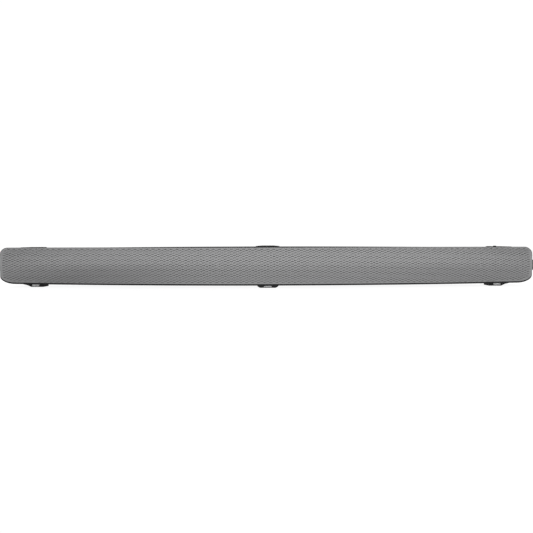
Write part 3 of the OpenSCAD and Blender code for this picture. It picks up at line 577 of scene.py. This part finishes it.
FINISH = {
    "cabinet_black": cabinet,
    "gloss_black": pod_gloss,
    "grille_paint": grille_paint,
    "acoustic_cloth": cloth_black,
    "baffle_board": baffle,
    "pad_rubber": pad_rubber,
    "button_plastic": button_plastic,
    "clear_lens": clear,
    "circuit_board": green_board,
    "power_circuit_board": power_green,
    "socket_metal": sockets_metal,
    "inlet_plastic": inlet,
    "heat_sink_metal": alloy,
    "shield_metal": shield,
    "aerial_copper": copper,
    "wire_sheath": wire_sheath,
    "wadding": wadding_fibre,
    "screw_steel": steel,
    "insert_brass": brass,
    "basket_steel": basket,
    "magnet_iron": magnet,
    "cone_paper": cone_fibre,
    "surround_rubber": surround,
    "tweeter_plastic": tweeter_plastic,
    "dome_silk": silk,
}
OWN_FINISH = {
    "grille_frame": frame_black,
    "left_bracket": foot_black,
    "right_bracket": foot_black,
    "centre_foot": foot_black,
}


def dress(obj, material):
    obj.data.materials.clear()
    obj.data.materials.append(material)


for row in frame["record"]["subparts"]:
    node = frame["nodes"][row["node"]]
    material = OWN_FINISH.get(row["node"], FINISH[row["material_slot"]])
    for i in range(len(node.material_slots)):
        node.material_slots[i].material = material

# ---------------------------------------------------------------- pieces

dress(grille(), grille_paint)
dress(cloth(), cloth_black)

PAD_LENGTH = 0.028
low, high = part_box("damping_pads")
left_pad = wadding("left_wadding", low, Vector((low.x + PAD_LENGTH, high.y, high.z)), 3)
right_pad = wadding("right_wadding", Vector((high.x - PAD_LENGTH, low.y, low.z)), high, 4)
for pad in (left_pad, right_pad):
    dress(pad, wadding_fibre)
    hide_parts("damping_pads")

MARKS = {
    "volume_up_button": [bar(-2, -0.25, 2, 0.25), bar(-0.25, -2, 0.25, -0.25), bar(-0.25, 0.25, 0.25, 2)],
    "volume_down_button": [bar(-2, -0.25, 2, 0.25)],
    "power_button": arc_strip(1.8, 0.45, 120, 420) + [bar(-0.22, 0.4, 0.22, 2.4)],
    "source_button": [
        bar(-2, -1.6, -1.55, 1.6), bar(-1.55, -1.6, 1.9, -1.15), bar(-1.55, 1.15, 1.9, 1.6),
        bar(-0.9, -0.22, 1.0, 0.22), [(1.0, -0.8), (2.2, 0), (1.0, 0.8)],
    ],
}
for button, polys in MARKS.items():
    dress(mark(button.replace("button", "mark"), polys, button), print_ink)

# ---------------------------------------------------------------- stage, light and camera

# painted light: the floor glows brighter under and behind the bar, filling in the bar's shadow there
UNDER_BAR_PAINTED_LIGHT = 0.93
TABLE_GLOW = 0.9
UNDER_FROM_Y = -0.08
UNDER_TO_Y = -0.03
NEAR_BOUNCE = 0.95
FAR_BOUNCE = 1.7
BOUNCE_NEAR_Y = -0.36
BOUNCE_FAR_Y = -0.42
BOUNCE_ACROSS = ((-1.0, 0.9), (-0.7, 0.85), (-0.4, 0.4), (-0.1, 1.0), (0.2, 1.0), (0.46, 0.75), (1.0, 0.9))
TABLE_TONES = [(0.3, (0.085, 0.085, 0.085)), (0.7, (0.095, 0.095, 0.095))]
SCREEN_TONES = [(0.3, (0.02, 0.02, 0.02)), (0.7, (0.022, 0.022, 0.022))]
SCREEN_SIDES = 64
SCREEN_RADIUS = 9.0
SCREEN_HEIGHT = 12.0
SCREEN_MIDDLE = 5.9


def flat_stage(name, size, height):
    """A square of the stage, level at a height."""
    mesh = bpy.data.meshes.new(name)
    bm = bmesh.new()
    bmesh.ops.create_grid(bm, x_segments=1, y_segments=1, size=size)
    bm.to_mesh(mesh)
    bm.free()
    obj = bpy.data.objects.new(name, mesh)
    obj.location.z = height
    bpy.context.scene.collection.objects.link(obj)
    return obj


def table():
    """A white table top, seen only by the camera, that glows but lights nothing, with painted light under
    the bar that fills in the bar's shadow there, so only a faint shadow shows.
    """
    floor = flat_stage("floor", 30.0, 0.0)
    floor.visible_diffuse = floor.visible_glossy = floor.visible_shadow = False
    g = Graph("pale_floor", Emission_Color=(1, 1, 1, 1))
    place = g.node("ShaderNodeSeparateXYZ", {"Vector": g.coord})
    # painted light: the glow rises under and behind the bar to fill in the bar's shadow on the floor
    floor_glow_with_painted_light = g.spread(place.outputs["Y"], UNDER_FROM_Y, UNDER_TO_Y, TABLE_GLOW, UNDER_BAR_PAINTED_LIGHT)
    g.tree.links.new(floor_glow_with_painted_light, g.shader.inputs["Emission Strength"])
    g.ramp(g.noise(3.0), TABLE_TONES)
    g.rough(g.noise(8.0), 0.75, 0.85)
    floor.data.materials.append(g.mat)


def bounce_card():
    """The card that throws light up at the bar: brighter further in front, and dimmer towards its ends."""
    card = flat_stage("bounce_card", 6.0, -0.002)
    card.visible_camera = False
    g = Graph("bounce_card")
    place = g.node("ShaderNodeSeparateXYZ", {"Vector": g.coord})
    across = g.spread(place.outputs["X"], -1.0, 1.0, 0.0, 1.0)
    stops = [((x + 1.0) / 2.0, (level, level, level)) for x, level in BOUNCE_ACROSS]
    g.ramp(across, stops, "Emission Color")
    ahead = g.spread(place.outputs["Y"], BOUNCE_NEAR_Y, BOUNCE_FAR_Y, NEAR_BOUNCE, FAR_BOUNCE)
    g.tree.links.new(ahead, g.shader.inputs["Emission Strength"])
    g.ramp(g.noise(20.0), TABLE_TONES)
    g.rough(g.noise(30.0), 0.8, 0.9)
    card.data.materials.append(g.mat)


def backdrop():
    """A round pale screen about the table that reads as white and throws no light on the bar."""
    mesh = bpy.data.meshes.new("backdrop")
    bm = bmesh.new()
    bmesh.ops.create_cone(
        bm, segments=SCREEN_SIDES, radius1=SCREEN_RADIUS, radius2=SCREEN_RADIUS, depth=SCREEN_HEIGHT
    )
    bmesh.ops.translate(bm, verts=bm.verts, vec=(0, 0, SCREEN_MIDDLE))
    bm.to_mesh(mesh)
    bm.free()
    screen = bpy.data.objects.new("backdrop", mesh)
    bpy.context.scene.collection.objects.link(screen)
    screen.visible_diffuse = screen.visible_glossy = False
    g = Graph("pale_backdrop", Emission_Color=(1, 1, 1, 1), Emission_Strength=1.0)
    g.ramp(g.noise(2.0), SCREEN_TONES)
    mesh.materials.append(g.mat)


def soft_light(name, place, target, size, power):
    data = bpy.data.lights.new(name, "AREA")
    data.shape = "RECTANGLE"
    data.size, data.size_y = size
    data.energy = power
    light = bpy.data.objects.new(name, data)
    light.location = place
    light.rotation_euler = (Vector(target) - Vector(place)).to_track_quat("-Z", "Y").to_euler()
    bpy.context.scene.collection.objects.link(light)


table()
bounce_card()
backdrop()
soft_light("key", (0.1, 0.2, 1.8), (0.05, 0, 0.04), (2.2, 0.6), 12)
soft_light("front", (0.1, -2.4, 1.53), (0.1, 0, 1.53), (5.2, 2.96), 134)
soft_light("back", (0.0, 1.9, 1.5), (0, 0, 0.04), (3.4, 1.0), 30)

WORLD_STRENGTH = 0.1

world = bpy.data.worlds.new("studio")
bpy.context.scene.world = world
world.use_nodes = True
world.node_tree.nodes["Background"].inputs["Color"].default_value = (1, 1, 1, 1)
world.node_tree.nodes["Background"].inputs["Strength"].default_value = WORLD_STRENGTH
bpy.context.scene.view_settings.view_transform = "Standard"

CAMERA_DISTANCE = 1.0
CAMERA_HEIGHT = 0.0817
SENSOR_WIDTH = 36.0
FOCAL = 0.981238
ORBIT = math.radians(0.9)
PITCH = math.radians(2.23373)
ROLL = math.radians(0.103)
AIM = math.radians(0.16433)

camera_data = bpy.data.cameras.new("camera")
camera_data.sensor_width = SENSOR_WIDTH
camera_data.lens = SENSOR_WIDTH * FOCAL
camera = bpy.data.objects.new("camera", camera_data)
bpy.context.scene.collection.objects.link(camera)
bpy.context.scene.camera = camera
pivot = Vector((0, FRONT_Y * MM, CAMERA_HEIGHT))
camera.location = pivot + Matrix.Rotation(-ORBIT, 3, "Z") @ Vector((0, -CAMERA_DISTANCE, 0))
turn = Matrix.Rotation(-ORBIT + AIM, 4, "Z")
turn @= Matrix.Rotation(math.pi / 2 - PITCH, 4, "X")
turn @= Matrix.Rotation(-ROLL, 4, "Z")
camera.rotation_euler = turn.to_euler()
